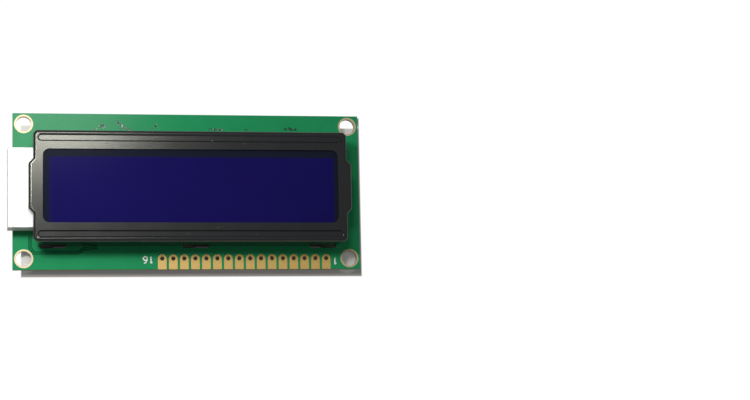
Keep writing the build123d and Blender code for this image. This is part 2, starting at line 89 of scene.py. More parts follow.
# Thin layers on the board: level of each one's middle on the front and on the back, and thickness.
# The bare fields are only on the back, between two levels
COPPER_LEVELS = (BOARD_HIGH.z + 0.004, BOARD_LOW.z - 0.008)
VIA_LEVELS = (BOARD_HIGH.z + 0.004, BOARD_LOW.z - 0.010)
PRINT_LEVELS = (BOARD_HIGH.z + 0.010, BOARD_LOW.z - 0.016)
FIELD_LEVELS = (BOARD_LOW.z - 0.004, BOARD_LOW.z - 0.001)
COPPER_HEIGHT, VIA_HEIGHT, PRINT_HEIGHT = 0.010, 0.020, 0.020
VIA_SIDES = 14
# Pitch of the laminate's weave, and of the layers in the elastomer strips
WEAVE_PITCH = 0.75
LAYER_PITCH = 0.5

# Solder mounds: inset and rise of their rings, and how far their corners are cut
MOUND_RINGS = ((-0.02, 0.0), (0.02, 0.07), (0.12, 0.12), (0.28, 0.14))
MOUND_CORNER = 0.08

# Window: how far its film reaches under the bezel, and how softly each painted shadow of the bezel ends,
# out and in
FILM_COVER = 0.6
TOP_SOFTNESS = (0.35, 0.25)
LEFT_SOFTNESS = (1.1, 1.0)
RIGHT_SOFTNESS = (0.25, 0.15)

# Floor: half its width in metres; corners and soft edge of the painted shade that the camera sees round the
# board, which holds the real shadow too; where the painted deep shade ends, counted outwards from that
# edge, and its share of the lift
FLOOR_REACH = 1.5
SHADE_LOW = Vector((BOARD_LOW.x + 1.8, BOARD_LOW.y - 1.6))
SHADE_HIGH = Vector((BOARD_HIGH.x + 1.1, BOARD_HIGH.y + 0.3))
SHADE_EDGE = 0.4
DEEP_EDGE = (-2.6, -1.8)
DEEP_LIFT = 0.3
# Painted light behind the mounting holes: their place, the squares of the distances over which the pale
# floor ends, and where its painted white half begins behind the two far holes
HOLE_PLACE = Vector((37.5, 15.5))
PALE_SQUARES = (8.0, 12.0)
LIT_EDGE = (-0.15, 0.35)
WHITE_STRENGTH = 1.02

# Lamps: place, target and diameter of each disc, and the spread of the key in degrees
KEY = ((-85, 42, 230), (-50, 5, 0), 44)
KEY_SPREAD = 75
SHEEN = ((-22, 64, 230), (-24, 11, 0), 50)

# Camera: width of the photo's frame in pixels, turns in degrees in the order of their product, its
# place across and up in its own axes, and the nearest and farthest that it sees
IMAGE_WIDTH = 750
CAMERA_TURNS = (("Z", 1.235), ("X", -7.415), ("Y", 10.677))
CAMERA_ACROSS, CAMERA_UP = 43.15, -1.919
CAMERA_REACH = (10, 10000)


# Shader expressions

class Term:
    """A shader socket that takes part in Python arithmetic."""

    def __init__(self, finish, socket):
        self.finish = finish
        self.socket = socket

    def math(self, operation, *others):
        """Result of a maths node on this value and others."""
        values = dict(enumerate((self, *others)))
        return self.finish.node("ShaderNodeMath", {"operation": operation}, values)

    def __add__(self, other):
        return self.math("ADD", other)

    def __mul__(self, other):
        return self.math("MULTIPLY", other)

    def __sub__(self, other):
        return self.math("SUBTRACT", other)

    def __rsub__(self, other):
        return self.finish.node("ShaderNodeMath", {"operation": "SUBTRACT"}, {0: other, 1: self})

    __radd__ = __add__
    __rmul__ = __mul__

    def ramp(self, low, high, to_low=0.0, to_high=1.0):
        """Smooth step of this value from low to high."""
        values = {"Value": self, 1: low, 2: high, 3: to_low, 4: to_high}
        return self.finish.node("ShaderNodeMapRange", {"interpolation_type": "SMOOTHSTEP"}, values)


class Finish:
    """A procedural material on Object coordinates in millimetres."""

    def __init__(self, name):
        self.material = bpy.data.materials.new(name)
        self.material.use_nodes = True
        self.tree = self.material.node_tree
        self.tree.nodes.clear()
        place = self.node("ShaderNodeTexCoord", {}, {}, "Object")
        self.place = self.node("ShaderNodeVectorMath", {"operation": "SCALE"}, {0: place, 3: 1 / MM})

    def node(self, kind, settings=None, values=None, output=0):
        """New node: its settings first, then the values or links of its sockets."""
        new = self.tree.nodes.new(kind)
        for key, value in (settings or {}).items():
            setattr(new, key, value)
        for key, value in (values or {}).items():
            if isinstance(value, Term):
                self.tree.links.new(value.socket, new.inputs[key])
            else:
                new.inputs[key].default_value = value
        return Term(self, new.outputs[output])

    def axis(self, name, of=None):
        """One component of a vector, of the place if no other is named."""
        return self.node("ShaderNodeSeparateXYZ", {}, {0: of or self.place}, name)

    def noise(self, size, detail=2.0, roughness=0.5, stretch=(1, 1, 1)):
        """Soft noise from 0 to 1, whose blotches are about size millimetres across."""
        stretched = self.node(
            "ShaderNodeVectorMath", {"operation": "MULTIPLY"}, {0: self.place, 1: stretch}
        )
        values = {"Vector": stretched, "Scale": 1 / size, "Detail": detail, "Roughness": roughness}
        return self.node("ShaderNodeTexNoise", {"noise_dimensions": "3D"}, values, "Fac")

    def blend(self, amount, low, high):
        """Colour between two colours."""
        return self.node("ShaderNodeMix", {"data_type": "RGBA"}, {0: amount, 6: low, 7: high}, 2)

    def facing(self):
        """How far a surface faces up or down, from 0 on walls to 1 on flats."""
        normal = self.node("ShaderNodeNewGeometry", {}, {}, "True Normal")
        return self.axis("Z", normal).math("ABSOLUTE")

    def surface(self, height=None, depth=0.0, **values):
        """Principled surface, with a bump of that depth in millimetres, on the output."""
        if height is not None:
            bump = {"Height": height, "Distance": depth * MM, "Strength": 1.0}
            values["Normal"] = self.node("ShaderNodeBump", {}, bump)
        values = {key.replace("_", " "): value for key, value in values.items()}
        return self.ended(self.node("ShaderNodeBsdfPrincipled", {}, values))

    def ended(self, shader):
        """The material, with a shader on its output."""
        output = self.tree.nodes.new("ShaderNodeOutputMaterial")
        self.tree.links.new(shader.socket, output.inputs["Surface"])
        return self.material


def linear(colour, gain=1.0):
    """Scene-linear colour, opaque, of a display colour from 0 to 255."""
    steps = [value / 255 for value in colour]
    curve = [s / 12.92 if s <= 0.04045 else ((s + 0.055) / 1.055) ** 2.4 for s in steps]
    return (*[gain * value for value in curve], 1.0)


def shades(colour, low, high):
    """Darker and lighter shade of a scene-linear colour, opaque."""
    return [(*Vector(colour) * gain, 1) for gain in (low, high)]


def paint(material, *names):
    """Give CAD nodes a material."""
    for name in names:
        node = frame["nodes"][name]
        if not node.material_slots:
            node.data.materials.append(material)
        for slot in node.material_slots:
            slot.material = material


def nodes_named(*starts):
    """CAD nodes whose names start in one of some ways, in order."""
    return sorted(name for name in frame["nodes"] if name.startswith(starts))


def slot_of(name):
    """Material slot of a CAD node, as the record has it."""
    return next(s["material_slot"] for s in frame["record"]["subparts"] if s["node"] == name)


# Meshes

def placed(name, data):
    """Object of some data, linked to the scene."""
    item = bpy.data.objects.new(name, data)
    bpy.context.scene.collection.objects.link(item)
    return item


def mesh_of(shape):
    """Mesh of a shape under construction, which is then freed."""
    mesh = bpy.data.meshes.new("shape")
    shape.to_mesh(mesh)
    shape.free()
    return mesh


def evaluated(carrier):
    """Mesh of an object after its modifiers; the object is removed."""
    graph = bpy.context.evaluated_depsgraph_get()
    mesh = bpy.data.meshes.new_from_object(carrier.evaluated_get(graph), depsgraph=graph)
    bpy.data.objects.remove(carrier)
    return mesh


def loft(shape, rings):
    """Closed skin through rings of vertices."""
    for one, two in zip(rings, rings[1:]):
        for i, vert in enumerate(one):
            after = (i + 1) % len(one)
            shape.faces.new((vert, one[after], two[after], two[i]))
    shape.faces.new(rings[0])
    shape.faces.new(rings[-1])


def new_piece(name, mesh, material, replaced=()):
    """Object of a finished mesh, riding on the part's one body."""
    mesh.name = name
    piece = placed(name, mesh)
    if not mesh.materials:
        mesh.materials.append(material)
    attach(piece, "root")
    if replaced:
        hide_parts(*replaced)
    return piece


def smooth_copy(name, node, material, angle=35):
    """Piece that stands for a CAD node: the same shape, shaded smooth up to an angle.

    Flat runs of facets are joined, so that normals weighted by area stay true beside the bends.
    """
    shape = bmesh.new()
    shape.from_mesh(frame["nodes"][node].data)
    bmesh.ops.remove_doubles(shape, verts=shape.verts, dist=WELD * MM)
    flat = math.radians(0.2)
    bmesh.ops.dissolve_limit(shape, angle_limit=flat, verts=shape.verts, edges=shape.edges)
    for face in shape.faces:
        face.smooth = True
        face.material_index = 0
    mesh = mesh_of(shape)
    mesh.materials.clear()
    mesh.set_sharp_from_angle(angle=math.radians(angle))
    carrier = placed("carrier", mesh)
    weighted = carrier.modifiers.new("weighted", "WEIGHTED_NORMAL")
    weighted.keep_sharp = True
    return new_piece(name, evaluated(carrier), material, (node,))


def line_mesh(lines):
    """Edges along polylines in millimetres.

    Each line lies a hair further out than the one before, so that no two strips share a face.
    """
    points = []
    edges = []
    for index, line in enumerate(lines):
        edges += [(len(points) + i, len(points) + i + 1) for i in range(len(line) - 1)]
        points += [(x * MM, y * MM, (z + math.copysign(index * HAIR, z)) * MM) for x, y, z in line]
    mesh = bpy.data.meshes.new("lines")
    mesh.from_pydata(points, edges, [])
    return mesh


def solid_boxes(node):
    """Low and high corners in plan of each separate solid of a CAD node, in millimetres."""
    shape = bmesh.new()
    shape.from_mesh(frame["nodes"][node].data)
    bmesh.ops.remove_doubles(shape, verts=shape.verts, dist=WELD * MM)
    seen = set()
    boxes = []
    for start in shape.verts:
        if start in seen:
            continue
        seen.add(start)
        reached = [start]
        for vert in reached:
            for edge in vert.link_edges:
                other = edge.other_vert(vert)
                if other not in seen:
                    seen.add(other)
                    reached.append(other)
        boxes.append([
            Vector((pick(v.co.x for v in reached), pick(v.co.y for v in reached))) / MM
            for pick in (min, max)
        ])
    shape.free()
    return boxes


def overlap(one, two):
    """True where two boxes in plan cover each other somewhere."""
    return all(one[0][i] < two[1][i] and two[0][i] < one[1][i] for i in (0, 1))


def mound_mesh(boxes, level):
    """Low mounds of solder, one on each land, seen from below."""
    shape = bmesh.new()
    cut = MOUND_CORNER
    for low, high in boxes:
        rings = []
        for inset, rise in MOUND_RINGS:
            left, lower = low + Vector((inset, inset))
            right, upper = high - Vector((inset, inset))
            corners = (
                (left + cut, lower), (right - cut, lower), (right, lower + cut), (right, upper - cut),
                (right - cut, upper), (left + cut, upper), (left, upper - cut), (left, lower + cut),
            )
            rings.append([shape.verts.new(Vector((x, y, level - rise)) * MM) for x, y in corners])
        loft(shape, rings)
    bmesh.ops.recalc_face_normals(shape, faces=shape.faces)
    for face in shape.faces:
        face.smooth = True
    return mesh_of(shape)


def link(tree, pairs):
    """Links from sockets to sockets."""
    for source, target in pairs:
        tree.links.new(source, target)


def new_tree(name, source, **sizes):
    """Geometry-nodes tree with its named inputs, and their sockets inside the tree."""
    tree = bpy.data.node_groups.new(name, "GeometryNodeTree")
    add = tree.interface.new_socket
    add(source, in_out="INPUT", socket_type="NodeSocketGeometry")
    for key, value in sizes.items():
        kind = "NodeSocketInt" if isinstance(value, int) else "NodeSocketFloat"
        add(key, in_out="INPUT", socket_type=kind).default_value = value
    add("Material", in_out="INPUT", socket_type="NodeSocketMaterial")
    add("Geometry", in_out="OUTPUT", socket_type="NodeSocketGeometry")
    return tree, tree.nodes.new("NodeGroupInput").outputs


def end_tree(tree, shape, material):
    """Realize the instances, set the material and lead the shape to the output."""
    realize = tree.nodes.new("GeometryNodeRealizeInstances")
    coat = tree.nodes.new("GeometryNodeSetMaterial")
    output = tree.nodes.new("NodeGroupOutput")
    link(tree, (
        (shape, realize.inputs["Geometry"]),
        (realize.outputs["Geometry"], coat.inputs["Geometry"]),
        (material, coat.inputs["Material"]),
        (coat.outputs["Geometry"], output.inputs["Geometry"]),
    ))


def ribbon_tree():
    """Geometry nodes: a flat strip along each line, welded at its corners."""
    tree, inputs = new_tree("flat_strip", "Lines", Width=0.15 * MM, Height=0.02 * MM)
    add = tree.nodes.new
    curve = add("GeometryNodeMeshToCurve")
    upright = add("GeometryNodeSetCurveNormal")
    upright.mode = "Z_UP"
    profile = add("GeometryNodeCurvePrimitiveQuadrilateral")
    sweep = add("GeometryNodeCurveToMesh")
    sweep.inputs["Fill Caps"].default_value = True
    link(tree, (
        (inputs["Lines"], curve.inputs["Mesh"]),
        (curve.outputs["Curve"], upright.inputs["Curve"]),
        (upright.outputs["Curve"], sweep.inputs["Curve"]),
        (inputs["Width"], profile.inputs["Width"]),
        (inputs["Height"], profile.inputs["Height"]),
        (profile.outputs["Curve"], sweep.inputs["Profile Curve"]),
    ))
    end_tree(tree, sweep.outputs["Mesh"], inputs["Material"])
    return tree


def via_tree():
    """Geometry nodes: a low drum on each point, in sizes that differ a little."""
    tree, inputs = new_tree(
        "drums", "Points", Radius=0.3 * MM, Height=0.02 * MM, Spread=0.1, Seed=3
    )
    add = tree.nodes.new
    drum = add("GeometryNodeMeshCylinder")
    drum.inputs["Vertices"].default_value = VIA_SIDES
    points = add("GeometryNodeMeshToPoints")
    # Its socket 2 is the least number drawn, and the greatest stays at 1
    size = add("FunctionNodeRandomValue")
    least = add("ShaderNodeMath")
    least.operation = "SUBTRACT"
    least.inputs[0].default_value = 1.0
    stand = add("GeometryNodeInstanceOnPoints")
    link(tree, (
        (inputs["Points"], points.inputs["Mesh"]),
        (points.outputs["Points"], stand.inputs["Points"]),
        (inputs["Radius"], drum.inputs["Radius"]),
        (inputs["Height"], drum.inputs["Depth"]),
        (drum.outputs["Mesh"], stand.inputs["Instance"]),
        (inputs["Spread"], least.inputs[1]),
        (least.outputs[0], size.inputs[2]),
        (inputs["Seed"], size.inputs["Seed"]),
        (size.outputs[1], stand.inputs["Scale"]),
    ))
    end_tree(tree, stand.outputs["Instances"], inputs["Material"])
    return tree


def grow(mesh, tree, material, **sizes):
    """Plain mesh that a geometry-nodes tree makes from a mesh."""
    carrier = placed("carrier", mesh)
    modifier = carrier.modifiers.new(tree.name, "NODES")
    modifier.node_group = tree
    sizes["Material"] = material
    for socket in tree.interface.items_tree:
        if socket.name in sizes:
            modifier[socket.identifier] = sizes[socket.name]
    return evaluated(carrier)


def joined(meshes):
    """One mesh of several."""
    shape = bmesh.new()
    for mesh in meshes:
        shape.from_mesh(mesh)
    return mesh_of(shape)


def cut_at_corners(line, sharpest=50):
    """Parts of a polyline, cut where it turns by more than an angle, so that a strip keeps its width."""
    parts = [[line[0]]]
    for before, point, after in zip(line, line[1:], line[2:]):
        parts[-1].append(point)
        turn = (Vector(point) - Vector(before)).angle(Vector(after) - Vector(point))
        if turn > math.radians(sharpest):
            parts.append([point])
    parts[-1].append(line[-1])
    return parts


# Printed letters: width and gap as shares of the height, and the strokes of each in a unit box
WIDTH_SHARE = 0.56
GAP_SHARE = 0.3
STROKES = {
    "1": [[(0.2, 0.76), (0.55, 1), (0.55, 0)]],
    "2": [[(0, 0.8), (0.25, 1), (0.75, 1), (1, 0.8), (1, 0.6), (0, 0), (1, 0)]],
    "3": [[(0, 1), (1, 1), (0.45, 0.6), (0.8, 0.55), (1, 0.35), (1, 0.15), (0.75, 0), (0.2, 0), (0, 0.15)]],
    "4": [[(0.75, 0), (0.75, 1), (0, 0.3), (1, 0.3)]],
    "5": [[(1, 1), (0.05, 1), (0, 0.58), (0.7, 0.6), (1, 0.4), (1, 0.2), (0.7, 0), (0, 0.05)]],
    "6": [[(0.8, 1), (0.3, 0.85), (0, 0.45), (0, 0.2), (0.25, 0), (0.75, 0), (1, 0.2), (1, 0.38),
           (0.75, 0.55), (0.25, 0.55), (0, 0.38)]],
    "7": [[(0, 1), (1, 1), (0.35, 0)]],
    "8": [[(0.5, 0.53), (0.1, 0.7), (0.1, 0.87), (0.3, 1), (0.7, 1), (0.9, 0.87), (0.9, 0.7), (0.5, 0.53),
           (0, 0.35), (0, 0.15), (0.25, 0), (0.75, 0), (1, 0.15), (1, 0.35), (0.5, 0.53)]],
    "9": [[(0.2, 0), (0.7, 0.15), (1, 0.55), (1, 0.8), (0.75, 1), (0.25, 1), (0, 0.8), (0, 0.62),
           (0.25, 0.45), (0.75, 0.45), (1, 0.62)]],
    "A": [[(0, 0), (0.5, 1), (1, 0)], [(0.2, 0.35), (0.8, 0.35)]],
    "C": [[(1, 0.8), (0.75, 1), (0.3, 1), (0, 0.75), (0, 0.25), (0.3, 0), (0.75, 0), (1, 0.2)]],
    "K": [[(0, 0), (0, 1)], [(1, 1), (0, 0.4)], [(0.3, 0.58), (1, 0)]],
    "R": [[(0, 0), (0, 1), (0.75, 1), (1, 0.85), (1, 0.65), (0.75, 0.5), (0, 0.5)], [(0.5, 0.5), (1, 0)]],
    "U": [[(0, 1), (0, 0.25), (0.25, 0), (0.75, 0), (1, 0.25), (1, 1)]],
}


def letter_lines(text, height, place, level, turn, mirrored=False):
    """Polylines of a word in a plotter's hand, centred at a place, the letters as high as given."""
    width = WIDTH_SHARE * height
    gap = GAP_SHARE * height
    advance = width + gap
    left = -(len(text) * advance - gap) / 2
    flip = Matrix.Rotation(math.pi, 4, "X") if mirrored else Matrix.Identity(4)
    move = Matrix.Translation((*place, level)) @ Matrix.Rotation(math.radians(turn), 4, "Z") @ flip
    lines = []
    for index, letter in enumerate(text):
        for stroke in STROKES[letter]:
            start = left + index * advance
            points = [(start + x * width, (y - 0.5) * height, 0) for x, y in stroke]
            lines += cut_at_corners([tuple(move @ Vector(point)) for point in points])
    return lines


def arc_points(centre, radius, start, end, level, steps):
    """Points along an arc, angles in degrees."""
    x, y = centre[:2]
    turns = [math.radians(start + (end - start) * i / steps) for i in range(steps + 1)]
    return [(x + radius * math.cos(turn), y + radius * math.sin(turn), level) for turn in turns]


def frame_points(low, high, level):
    """Points round a rectangle, from the middle of one side so that its corners close."""
    (left, lower), (right, upper) = low, high
    start = ((left + right) / 2, lower)
    plan = (start, (right, lower), (right, upper), (left, upper), (left, lower), start)
    return [(x, y, level) for x, y in plan]


def shifted(line, step, count, end_step=None):
    """Copies of a route in plan, each moved by one more step, its last point by a step of its own."""
    routes = []
    for i in range(count):
        steps = [step] * (len(line) - 1) + [end_step or step]
        routes.append([(x + i * dx, y + i * dy) for (x, y), (dx, dy) in zip(line, steps)])
    return routes


def beside(route, distance):
    """Route that keeps a distance to the left of another, in plan."""
    points = [Vector(point) for point in route]
    sides = [(after - before).orthogonal().normalized() for before, after in zip(points, points[1:])]
    moves = [sides[0]]
    moves += [(one + two) / (1 + one.dot(two)) for one, two in zip(sides, sides[1:])]
    moves.append(sides[-1])
    return [tuple(point + move * distance) for point, move in zip(points, moves)]


def pair(route, distance):
    """A route and the one beside it."""
    return [route, beside(route, distance)]


def slab_mesh(outlines, low, high):
    """Thin closed slabs between two levels, one for each outline in plan."""
    shape = bmesh.new()
    for outline in outlines:
        loft(shape, [
            [shape.verts.new(Vector((x, y, z)) * MM) for x, y in outline] for z in (low, high)
        ])
    bmesh.ops.recalc_face_normals(shape, faces=shape.faces)
    return mesh_of(shape)


def plan_box(name):
    """Low and high corners in plan of a CAD node, in millimetres."""
    return [Vector(corner[:2]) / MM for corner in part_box(name)]


# Layout of the board

# Copper under the front mask: a double line in the near left corner, and vias beyond the bezel
FRONT_LINES = pair(
    [(-36.3, -10.2), (-36.3, -13.1), (-35.3, -14.4), (-25.1, -14.4), (-23.8, -13.4), (-20.9, -13.2)],
    0.45,
)
FRONT_VIAS = (
    (-21.1, 14.3), (-20.1, 15.2), (-19.6, 15.3), (-19.2, 14.9), (-16.1, 16.0), (-15.7, 15.5),
    (-15.1, 15.5), (-15.0, 14.7), (-14.0, 14.7), (-13.4, 14.3), (-7.3, 15.4), (-8.0, 14.6),
    (5.4, 14.6), (6.3, 14.7), (7.1, 14.6), (7.8, 14.5), (13.7, 14.5), (22.9, 14.8), (23.8, 14.9),
    (24.3, 14.7), (25.2, 14.7),
)

# Copper under the back mask: fields without copper, traces over them, gaps in the copper and vias
BACK_FIELDS = (
    [(-21.6, -15.9), (-19.0, -15.9), (-17.4, -12.4), (-15.0, -9.9), (4.6, -9.9), (8.6, -13.2),
     (26.3, -14.0), (26.6, -9.4), (37.2, -9.4), (38.0, -8.4), (38.0, -6.0), (32.2, -6.0), (32.2, 3.2),
     (28.0, 4.4), (23.6, 4.2), (20.6, 6.0), (19.6, 12.6), (13.0, 15.4), (5.0, 15.4), (5.0, 6.8),
     (1.6, 5.4), (1.6, -0.4), (-1.6, -3.4), (-5.4, -1.0), (-7.9, 3.6), (-8.2, 11.4), (-16.2, 16.9),
     (-21.6, 13.6), (-26.8, 16.4), (-28.0, 15.2), (-28.0, 9.4), (-31.6, 8.2), (-32.2, 2.4),
     (-27.0, -3.0), (-26.4, -9.2), (-21.4, -10.2)],
    [(-37.9, -3.1), (-37.9, -9.0), (-26.9, -9.0), (-26.9, -3.1)],
)
BACK_TRACES = (
    *shifted([(-14.6, -9.3), (0.4, -9.3), (3.4, -6.3), (5.6, -3.2)], (0.12, 0.62), 8),
    *shifted([(-25.6, -3.8), (-31.8, 2.4), (-31.8, 6.2)], (0.46, 0.5), 9),
    *shifted([(-27.6, 6.4), (-27.6, 15.2), (-26.6, 16.2), (-19.8, 16.2)], (0.56, -0.6), 5, (-1.0, -0.6)),
    *shifted([(-22.6, 5.0), (-22.6, 10.4), (-16.8, 16.2)], (0.62, -0.5), 9),
    *shifted([(-18.6, 5.4), (-18.0, 6.2), (-14.2, 6.2), (-13.0, 5.0)], (0.1, -0.55), 4),
    *shifted([(-13.9, -3.2), (-12.2, -4.9), (-11.4, -4.9)], (0.1, 0.7), 4),
    *shifted([(-13.7, 0.2), (-10.4, -2.4), (-9.2, -1.6), (-7.6, -1.6)], (0.2, 0.66), 7),
    *shifted([(5.2, -9.2), (8.6, -12.5), (11.0, -12.5), (11.8, -13.4), (11.8, -14.8)], (2.56, 0.1), 3),
    *shifted([(16.6, -10.4), (19.3, -13.2), (19.3, -14.8)], (2.54, 0.4), 2),
    [(9.6, -10.2), (23.4, -10.2), (24.5, -11.2), (24.5, -14.8)],
    *shifted([(4.6, -8.6), (16.0, -8.6), (18.0, -6.6)], (0, 0.6), 6),
    *shifted([(18.6, -5.4), (22.4, -8.6), (30.4, -8.6)], (0.6, 0.55), 5),
    *shifted([(20.6, -2.2), (25.4, -2.2), (27.2, -4.0), (31.6, -4.0)], (0.1, 0.62), 8),
    *shifted([(6.6, 12.6), (6.6, 9.6), (10.2, 6.4), (11.6, 6.4)], (0.9, 0.35), 6),
    *shifted([(1.8, -0.4), (4.6, 2.2), (8.0, 2.2)], (0.1, 0.66), 5),
)
BACK_GAPS = (
    *pair([(-6.7, -14.7), (-15.2, -14.7), (-17.3, -16.3), (-28.9, -16.3), (-30.6, -14.6), (-35.1, -14.6),
           (-39.3, -10.2)], -0.45),
    *pair([(-3.8, -14.8), (-4.6, -13.6), (-14.9, -13.6), (-17.6, -12.2), (-19.8, -12.6)], -0.45),
    *pair([(26.1, -15.2), (26.1, -10.0), (27.2, -8.9), (36.6, -8.9), (37.6, -7.9), (37.6, 6.0)], -0.5),
    *pair([(1.6, 7.0), (-3.5, 7.0), (-6.5, 9.8), (-6.5, 14.0), (-4.9, 15.7), (24.4, 15.7),
           (26.2, 14.0)], -0.5),
    *pair([(19.2, 6.2), (19.2, 12.4), (18.2, 13.4), (13.8, 13.4)], 0.5),
)
BACK_VIAS = (
    (-31.0, 6.6), (-31.1, 8.6), (-24.4, 7.6), (-23.4, 7.4), (-19.3, 16.0), (-18.9, 15.2), (-20.1, 14.6),
    (-21.3, 13.9), (-22.5, 13.2), (-15.9, 16.4), (-14.9, 15.9), (-13.9, 15.3), (-12.9, 14.6), (-11.9, 13.9),
    (-10.9, 13.3), (-9.9, 12.6), (-8.9, 11.9), (-9.0, 10.3), (-4.6, 11.3), (-4.0, 11.6), (-19.8, -12.5),
    (-5.4, -3.0), (-4.4, -3.4), (-3.4, -3.2), (-2.4, -3.0), (-1.6, -2.2), (-1.6, -0.8), (-6.4, 0.6),
    (-5.6, -0.4), (-7.4, 5.8), (-8.6, 6.4), (6.2, 13.2), (7.2, 13.5), (8.3, 13.7), (9.4, 13.9),
    (10.4, 12.8), (23.6, 14.0), (25.8, 13.8), (24.8, 14.2), (20.8, 6.6), (21.0, 8.2), (7.0, -10.6),
    (8.4, -10.9), (9.6, -10.4), (5.4, -14.2), (6.6, -14.0), (8.0, -14.2), (10.4, -13.4), (29.4, -1.0),
    (28.4, -2.4),
)

# Printed boxes of the parts left empty: the spare resistor, the chip and its body, two spare parts
EMPTY_BOXES = (
    ((-26.5, -13.0), (-21.5, -10.6)),
    ((-36.9, -8.7), (-26.8, -2.8)),
    ((-33.1, -8.4), (-30.1, -3.2)),
    ((-38.0, -2.5), (-35.7, 3.4)),
    ((-34.6, -2.4), (-28.9, 0.0)),
)

# Rings round the three jumpers: places in plan, and radius
JUMPERS = ((-13.8, -15.8), (-25.2, -6.6), (-17.8, -14.2))
JUMPER_RADIUS = 1.25

# Rings round the resin domes: radius, shift from the dome's centre, and the angles of an arc outside
# it that ends in a dot
DOME_RINGS = {
    "driver_blob": (5.78, (0.05, 0.1), (-80, -32)),
    "controller_blob": (6.2, (-0.3, 0.2), (2, 48)),
}
ARC_GAP = 0.75
DOT_RADIUS = 0.5
RING_SIDES, JUMPER_SIDES, ARC_SIDES = 72, 32, 14

# Names beside the parts on the back: place in plan and quarter turns
LETTERS = (
    ("16", (-8.9, -16.0), 0), ("1", (34.6, -16.3), 0), ("K1", (-37.1, -7.3), 2), ("K2", (-37.1, -4.2), 2),
    ("A1", (-36.5, 4.6), 2), ("A2", (-36.5, 7.2), 2), ("R8", (-27.9, -14.4), 0), ("R9", (-25.6, -9.4), 0),
    ("C2", (-20.5, -7.4), 0), ("U2", (-13.7, -5.7), 2), ("C1", (2.5, -6.0), 0), ("U1", (13.7, -7.3), 2),
    ("R7", (22.6, -7.8), 2), ("R6", (31.4, -5.9), 2), ("R5", (31.4, -3.0), 2), ("R4", (31.4, -0.7), 2),
    ("R3", (30.8, 2.2), 2), ("R1", (31.7, 5.0), 2), ("R2", (31.4, 7.9), 2),
)

# Names beside the ends of the header row on the front: place in plan
PAD_NUMBERS = (("16", (-9.3, -15.85)), ("1", (34.1, -16.15)))


def box_lines(level):
    """Printed boxes round the chip parts, fitted and left empty."""
    lines = []
    for start, margin in (("resistor_caps", (1.25, 0.5)), ("capacitor_caps", (1.0, 0.6))):
        for name in nodes_named(start):
            low, high = plan_box(name)
            lines.append(frame_points(low - Vector(margin), high + Vector(margin), level))
    return lines + [frame_points(low, high, level) for low, high in EMPTY_BOXES]


# Settings

def colour_setting(name, colour, description):
    """Property of a colour, given as displayed, from 0 to 255."""
    return FloatVectorProperty(
        name=name, description=description, subtype="COLOR", size=3, min=0.0, max=1.0,
        default=linear(colour)[:3],
    )


def length_setting(name, length, description):
    """Property of a length, given in millimetres."""
    return FloatProperty(name=name, description=description, default=length * MM, unit="LENGTH")


def share_setting(name, share, description):
    """Property of a share from 0 to 1."""
    return FloatProperty(
        name=name, description=description, default=share, min=0.0, max=1.0, subtype="FACTOR"
    )


class BoardSettings(bpy.types.PropertyGroup):
    mask_colour: colour_setting("Mask", (35, 139, 87), "Green solder mask over copper")
    gap_colour: colour_setting("Gap", (12, 76, 46), "Solder mask in the gaps of the copper")
    field_colour: colour_setting("Field", (22, 106, 66), "Solder mask over bare laminate")
    laminate_colour: colour_setting("Laminate", (168, 160, 112), "Cut edge of the board")
    gold_colour: colour_setting("Gold", (202, 166, 90), "Gold on the pads")
    plate_colour: colour_setting("Plate", (190, 176, 138), "Pale gold on the mounting rings")
    print_colour: colour_setting("Printing", (240, 242, 234), "White printing on the board")
    gap_width: length_setting("Gap width", 0.24, "Width of a gap in the copper")
    trace_width: length_setting("Trace width", 0.2, "Width of a copper trace")
    print_width: length_setting("Line width", 0.2, "Width of a printed line")
    heavy_width: length_setting("Heavy line width", 0.3, "Width of pad numbers and rings")
    letter_height: length_setting("Letters", 1.3, "Height of the names beside the parts")
    number_height: length_setting("Numbers", 1.55, "Height of the pad numbers")
    via_radius: length_setting("Via radius", 0.39, "Radius of a covered via")
    via_spread: share_setting("Via spread", 0.3, "How much smaller a via can be")
    seed: IntProperty(name="Seed", description="Seed of the via sizes", default=3)


class BezelSettings(bpy.types.PropertyGroup):
    paint_colour: colour_setting("Paint", (31, 32, 36), "Black stoved paint")
    roughness: share_setting("Roughness", 0.16, "Roughness of the paint")
    grain_depth: length_setting("Grain", 0.003, "Depth of the paint's grain")


class WindowSettings(bpy.types.PropertyGroup):
    blue_colour: colour_setting("Blue", (23, 18, 80), "Lit area of the cell")
    # Painted shadow of the bezel on the cell: its colour, and its width at the far side, the left and the
    # right
    bezel_shadow_colour: colour_setting("Edge", (25, 29, 42), "Dark edge of the cell")
    shadow_top: length_setting("Far edge", 1.75, "Dark edge on the side away from the header")
    shadow_left: length_setting("Left edge", 1.6, "Dark edge at the left")
    shadow_right: length_setting("Right edge", 0.9, "Dark edge at the right")


class StageSettings(bpy.types.PropertyGroup):
    # Painted light: paler floor behind the mounting holes
    hole_light_colour: colour_setting("Floor", (208, 206, 200), "Floor under the mounting holes")
    # Painted shade: grey floor along the board's edge, and a darker painted shade under the board
    shade_colour: colour_setting("Shade", (136, 130, 124), "Floor along the edge of the board")
    deep_colour: colour_setting("Deep shade", (60, 55, 50), "Floor under the board")
    least_lift: share_setting("Lift", 0.09, "Least share of white in the floor that the camera sees")
    mirrored_share: share_setting("Mirrored white", 0.4, "Share of white in the floor's reflection")
    key_power: FloatProperty(name="Key", description="Key lamp", default=0.075, unit="POWER")
    sheen_power: FloatProperty(name="Sheen", description="Sheen lamp", default=0.128, unit="POWER")
    world_level: share_setting("World", 0.23, "Level of the world's light")
    focal: FloatProperty(
        name="Focal length", description="In the photo's frame", default=2165.7, subtype="PIXEL"
    )
    distance: length_setting("Distance", 500.0, "Distance of the camera along its axis")


# Materials

